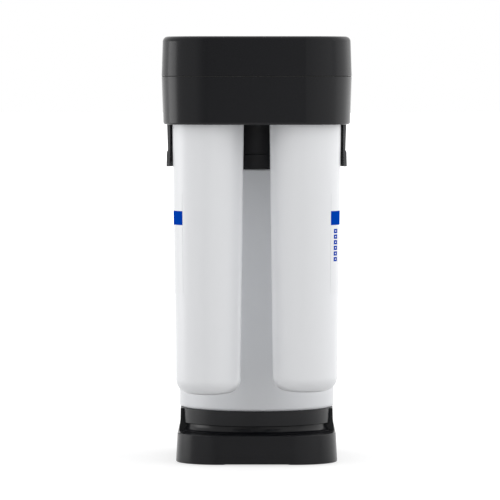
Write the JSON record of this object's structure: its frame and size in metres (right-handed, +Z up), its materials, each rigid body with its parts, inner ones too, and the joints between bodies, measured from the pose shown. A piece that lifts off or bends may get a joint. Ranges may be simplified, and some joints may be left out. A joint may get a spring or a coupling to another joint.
{
  "type": "reverse osmosis system",
  "caption": "Compact under-sink water purifier: black head with hanging white twist-lock filter cartridges round a white storage tank on a black stand.",
  "frame": {"origin": "bottom centre of the stand, on the floor", "axes": "+Z up; +Y along the head's long side, away from the pictured end; +X to the right in the picture, towards the rear wall with the tube ports"},
  "size_m": [0.184, 0.371, 0.42],
  "materials": {
    "head_black": "satin black moulded plastic",
    "collar_black": "satin black moulded plastic",
    "stand_black": "satin black moulded plastic",
    "lever_black": "satin black moulded plastic",
    "cartridge_white": "semi-gloss white moulded plastic",
    "cap_white": "semi-gloss white moulded plastic",
    "tank_white": "semi-gloss white shell",
    "carbon": "pressed carbon block",
    "membrane": "rolled membrane in tape",
    "collector_grey": "grey glass-filled moulded plastic",
    "fitting_white": "white acetal",
    "collet_grey": "grey acetal",
    "rubber": "matt black rubber",
    "steel": "plain steel"
  },
  "bodies": {
    "unit": {"head_housing": "head_black", "port_panel": "head_black", "collector_plate": "collector_grey", "channel_cover": "collector_grey", "socket_1": "collector_grey", "socket_2": "collector_grey", "socket_3": "collector_grey", "socket_4": "collector_grey", "valve_body": "collector_grey", "valve_diaphragm": "rubber", "valve_cap": "collector_grey", "valve_screws": "steel", "check_valve": "fitting_white", "flow_restrictor": "fitting_white", "collector_screws": "steel", "feed_port": "fitting_white", "drain_port": "fitting_white", "clean_port": "fitting_white", "port_orings": "rubber", "tank_shell": "tank_white", "tank_cover": "collar_black", "tank_stem": "fitting_white", "stem_orings": "rubber", "tank_seal": "rubber", "tank_bladder": "rubber", "tank_clamp_ring": "collar_black", "neck_shroud": "collar_black", "base_stand": "stand_black", "base_feet": "rubber", "base_screws": "steel"},
    "lid": {"head_lid": "head_black"},
    "cartridge_1": {"cartridge_1_body": "cartridge_white", "cartridge_1_cap": "cap_white", "cartridge_1_media": "carbon", "cartridge_1_orings": "rubber"},
    "cartridge_2": {"cartridge_2_body": "cartridge_white", "cartridge_2_cap": "cap_white", "cartridge_2_media": "carbon", "cartridge_2_orings": "rubber"},
    "cartridge_3": {"cartridge_3_body": "cartridge_white", "cartridge_3_cap": "cap_white", "cartridge_3_media": "membrane", "cartridge_3_orings": "rubber"},
    "cartridge_4": {"cartridge_4_body": "cartridge_white", "cartridge_4_cap": "cap_white", "cartridge_4_media": "carbon", "cartridge_4_orings": "rubber"},
    "lever_1": {"latch_lever_1": "lever_black"},
    "lever_2": {"latch_lever_2": "lever_black"},
    "lever_3": {"latch_lever_3": "lever_black"},
    "lever_4": {"latch_lever_4": "lever_black"},
    "feed_release": {"feed_collet": "collet_grey"},
    "drain_release": {"drain_collet": "collet_grey"},
    "clean_release": {"clean_collet": "collet_grey"}
  },
  "joints": [
    {"name": "lid_lift", "type": "slide", "parent": "unit", "child": "lid", "axis": [0, 0, 1], "range_m": [0, 0.06]},
    {"name": "cartridge_1_twist", "type": "hinge", "parent": "unit", "child": "cartridge_1", "pos_m": [-0.047, -0.1405, 0.34], "axis": [0, 0, -1], "range_deg": [0, 45]},
    {"name": "cartridge_2_twist", "type": "hinge", "parent": "unit", "child": "cartridge_2", "pos_m": [-0.047, 0.1405, 0.34], "axis": [0, 0, -1], "range_deg": [0, 45]},
    {"name": "cartridge_3_twist", "type": "hinge", "parent": "unit", "child": "cartridge_3", "pos_m": [0.047, -0.1405, 0.34], "axis": [0, 0, -1], "range_deg": [0, 45]},
    {"name": "cartridge_4_twist", "type": "hinge", "parent": "unit", "child": "cartridge_4", "pos_m": [0.047, 0.1405, 0.34], "axis": [0, 0, -1], "range_deg": [0, 45]},
    {"name": "lever_1_press", "type": "hinge", "parent": "unit", "child": "lever_1", "pos_m": [-0.082, -0.1298, 0.341], "axis": [-0.2924, -0.9563, 0], "range_deg": [0, 2.8], "stiffness_Nm_per_rad": 2},
    {"name": "lever_2_press", "type": "hinge", "parent": "unit", "child": "lever_2", "pos_m": [-0.082, 0.1298, 0.341], "axis": [0.2924, -0.9563, 0], "range_deg": [0, 2.8], "stiffness_Nm_per_rad": 2},
    {"name": "lever_3_press", "type": "hinge", "parent": "unit", "child": "lever_3", "pos_m": [0.082, -0.1298, 0.341], "axis": [-0.2924, 0.9563, 0], "range_deg": [0, 2.8], "stiffness_Nm_per_rad": 2},
    {"name": "lever_4_press", "type": "hinge", "parent": "unit", "child": "lever_4", "pos_m": [0.082, 0.1298, 0.341], "axis": [0.2924, 0.9563, 0], "range_deg": [0, 2.8], "stiffness_Nm_per_rad": 2},
    {"name": "feed_collet_push", "type": "slide", "parent": "unit", "child": "feed_release", "axis": [-1, 0, 0], "range_m": [0, 0.0016], "stiffness_N_per_m": 500},
    {"name": "drain_collet_push", "type": "slide", "parent": "unit", "child": "drain_release", "axis": [-1, 0, 0], "range_m": [0, 0.0016], "stiffness_N_per_m": 500},
    {"name": "clean_collet_push", "type": "slide", "parent": "unit", "child": "clean_release", "axis": [-1, 0, 0], "range_m": [0, 0.0016], "stiffness_N_per_m": 500}
  ]
}
